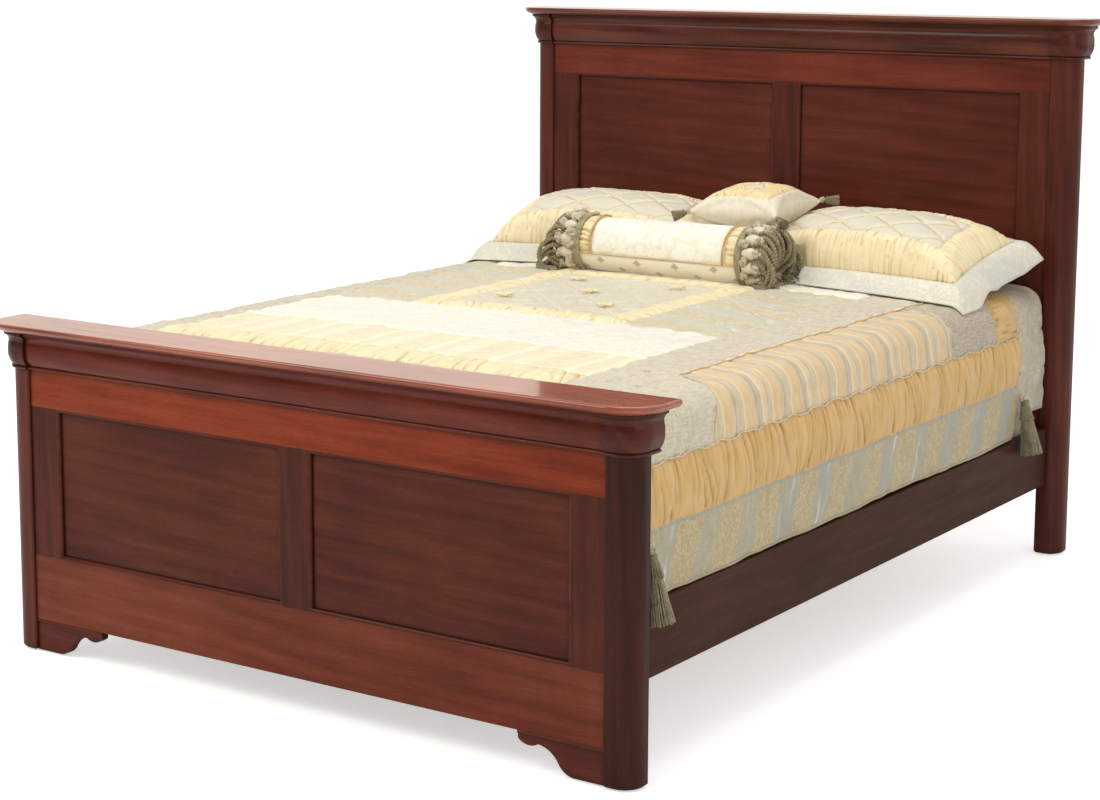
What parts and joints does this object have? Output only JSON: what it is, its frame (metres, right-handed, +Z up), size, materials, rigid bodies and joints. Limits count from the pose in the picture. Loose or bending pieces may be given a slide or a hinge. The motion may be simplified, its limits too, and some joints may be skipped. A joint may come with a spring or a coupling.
{
  "type": "panel bed",
  "caption": "Queen panel bed in dark cherry: frame-and-panel headboard and footboard with crown moulding and cap, hook-on side rails, slats, and a dressed mattress.",
  "frame": {"origin": "on the floor, under the centre of the whole bed", "axes": "+X to the right seen from the foot, +Y from the foot to the head, +Z up"},
  "size_m": [1.764, 2.285, 1.416],
  "materials": {
    "cherry_frame": "dark cherry stain under satin lacquer",
    "cherry_panel": "dark cherry stain under satin lacquer, flat sawn grain",
    "cherry_moulding": "dark cherry stain, rubbed to a shine",
    "cherry_rail": "dark cherry stain under satin lacquer",
    "slat_pine": "planed, bare",
    "hook_steel": "zinc plated",
    "screw_steel": "yellow zinc plated",
    "insert_steel": "zinc plated",
    "glide_plastic": "moulded, matt",
    "glide_nylon": "moulded, matt",
    "foundation_cover": "woven cover",
    "mattress_ticking": "woven ticking",
    "quilt_cotton": "pieced cotton and satin in cream, sage and gold",
    "sham_satin": "ruched gold satin round a quilted centre",
    "bolster_brocade": "cream brocade",
    "accent_satin": "satin and woven bands",
    "tassel_rope": "twisted rayon rope"
  },
  "bodies": {
    "bed": {"accent_pillow": "accent_satin", "accent_pillow_tassels": "tassel_rope", "bolster": "bolster_brocade", "bolster_fringes": "tassel_rope", "centre_legs": "slat_pine", "footboard_bottom_rail": "cherry_frame", "footboard_bracket_left": "cherry_frame", "footboard_bracket_right": "cherry_frame", "footboard_cap": "cherry_moulding", "footboard_crown_back": "cherry_moulding", "footboard_crown_front": "cherry_moulding", "footboard_crown_return_left": "cherry_moulding", "footboard_crown_return_right": "cherry_moulding", "footboard_mid_stile": "cherry_frame", "footboard_panel_beads": "cherry_moulding", "footboard_panel_left": "cherry_panel", "footboard_panel_right": "cherry_panel", "footboard_post_left": "cherry_frame", "footboard_post_right": "cherry_frame", "footboard_stile_left": "cherry_frame", "footboard_stile_right": "cherry_frame", "footboard_top_rail": "cherry_frame", "foundation": "foundation_cover", "headboard_bottom_rail": "cherry_frame", "headboard_cap": "cherry_moulding", "headboard_crown_back": "cherry_moulding", "headboard_crown_front": "cherry_moulding", "headboard_crown_return_left": "cherry_moulding", "headboard_crown_return_right": "cherry_moulding", "headboard_mid_stile": "cherry_frame", "headboard_panel_beads": "cherry_moulding", "headboard_panel_left": "cherry_panel", "headboard_panel_right": "cherry_panel", "headboard_post_left": "cherry_frame", "headboard_post_right": "cherry_frame", "headboard_stile_left": "cherry_frame", "headboard_stile_right": "cherry_frame", "headboard_top_rail": "cherry_frame", "hook_plate_screws": "screw_steel", "leg_inserts": "insert_steel", "mattress": "mattress_ticking", "post_glides": "glide_nylon", "post_hook_plates": "hook_steel", "quilt": "quilt_cotton", "quilt_tassels": "tassel_rope", "rail_hook_plates": "hook_steel", "sham_left": "sham_satin", "sham_right": "sham_satin", "side_rail_left": "cherry_rail", "side_rail_right": "cherry_rail", "slat_1": "slat_pine", "slat_2": "slat_pine", "slat_3": "slat_pine", "slat_4": "slat_pine", "slat_ledge_left": "slat_pine", "slat_ledge_right": "slat_pine", "wood_screws": "screw_steel"},
    "glide_1": {"leg_glide_1": "glide_plastic"},
    "glide_2": {"leg_glide_2": "glide_plastic"}
  },
  "joints": [
    {"name": "leg_glide_1_level", "type": "slide", "parent": "bed", "child": "glide_1", "axis": [0, 0, 1], "range_m": [0, 0.012]},
    {"name": "leg_glide_2_level", "type": "slide", "parent": "bed", "child": "glide_2", "axis": [0, 0, 1], "range_m": [0, 0.012]}
  ]
}
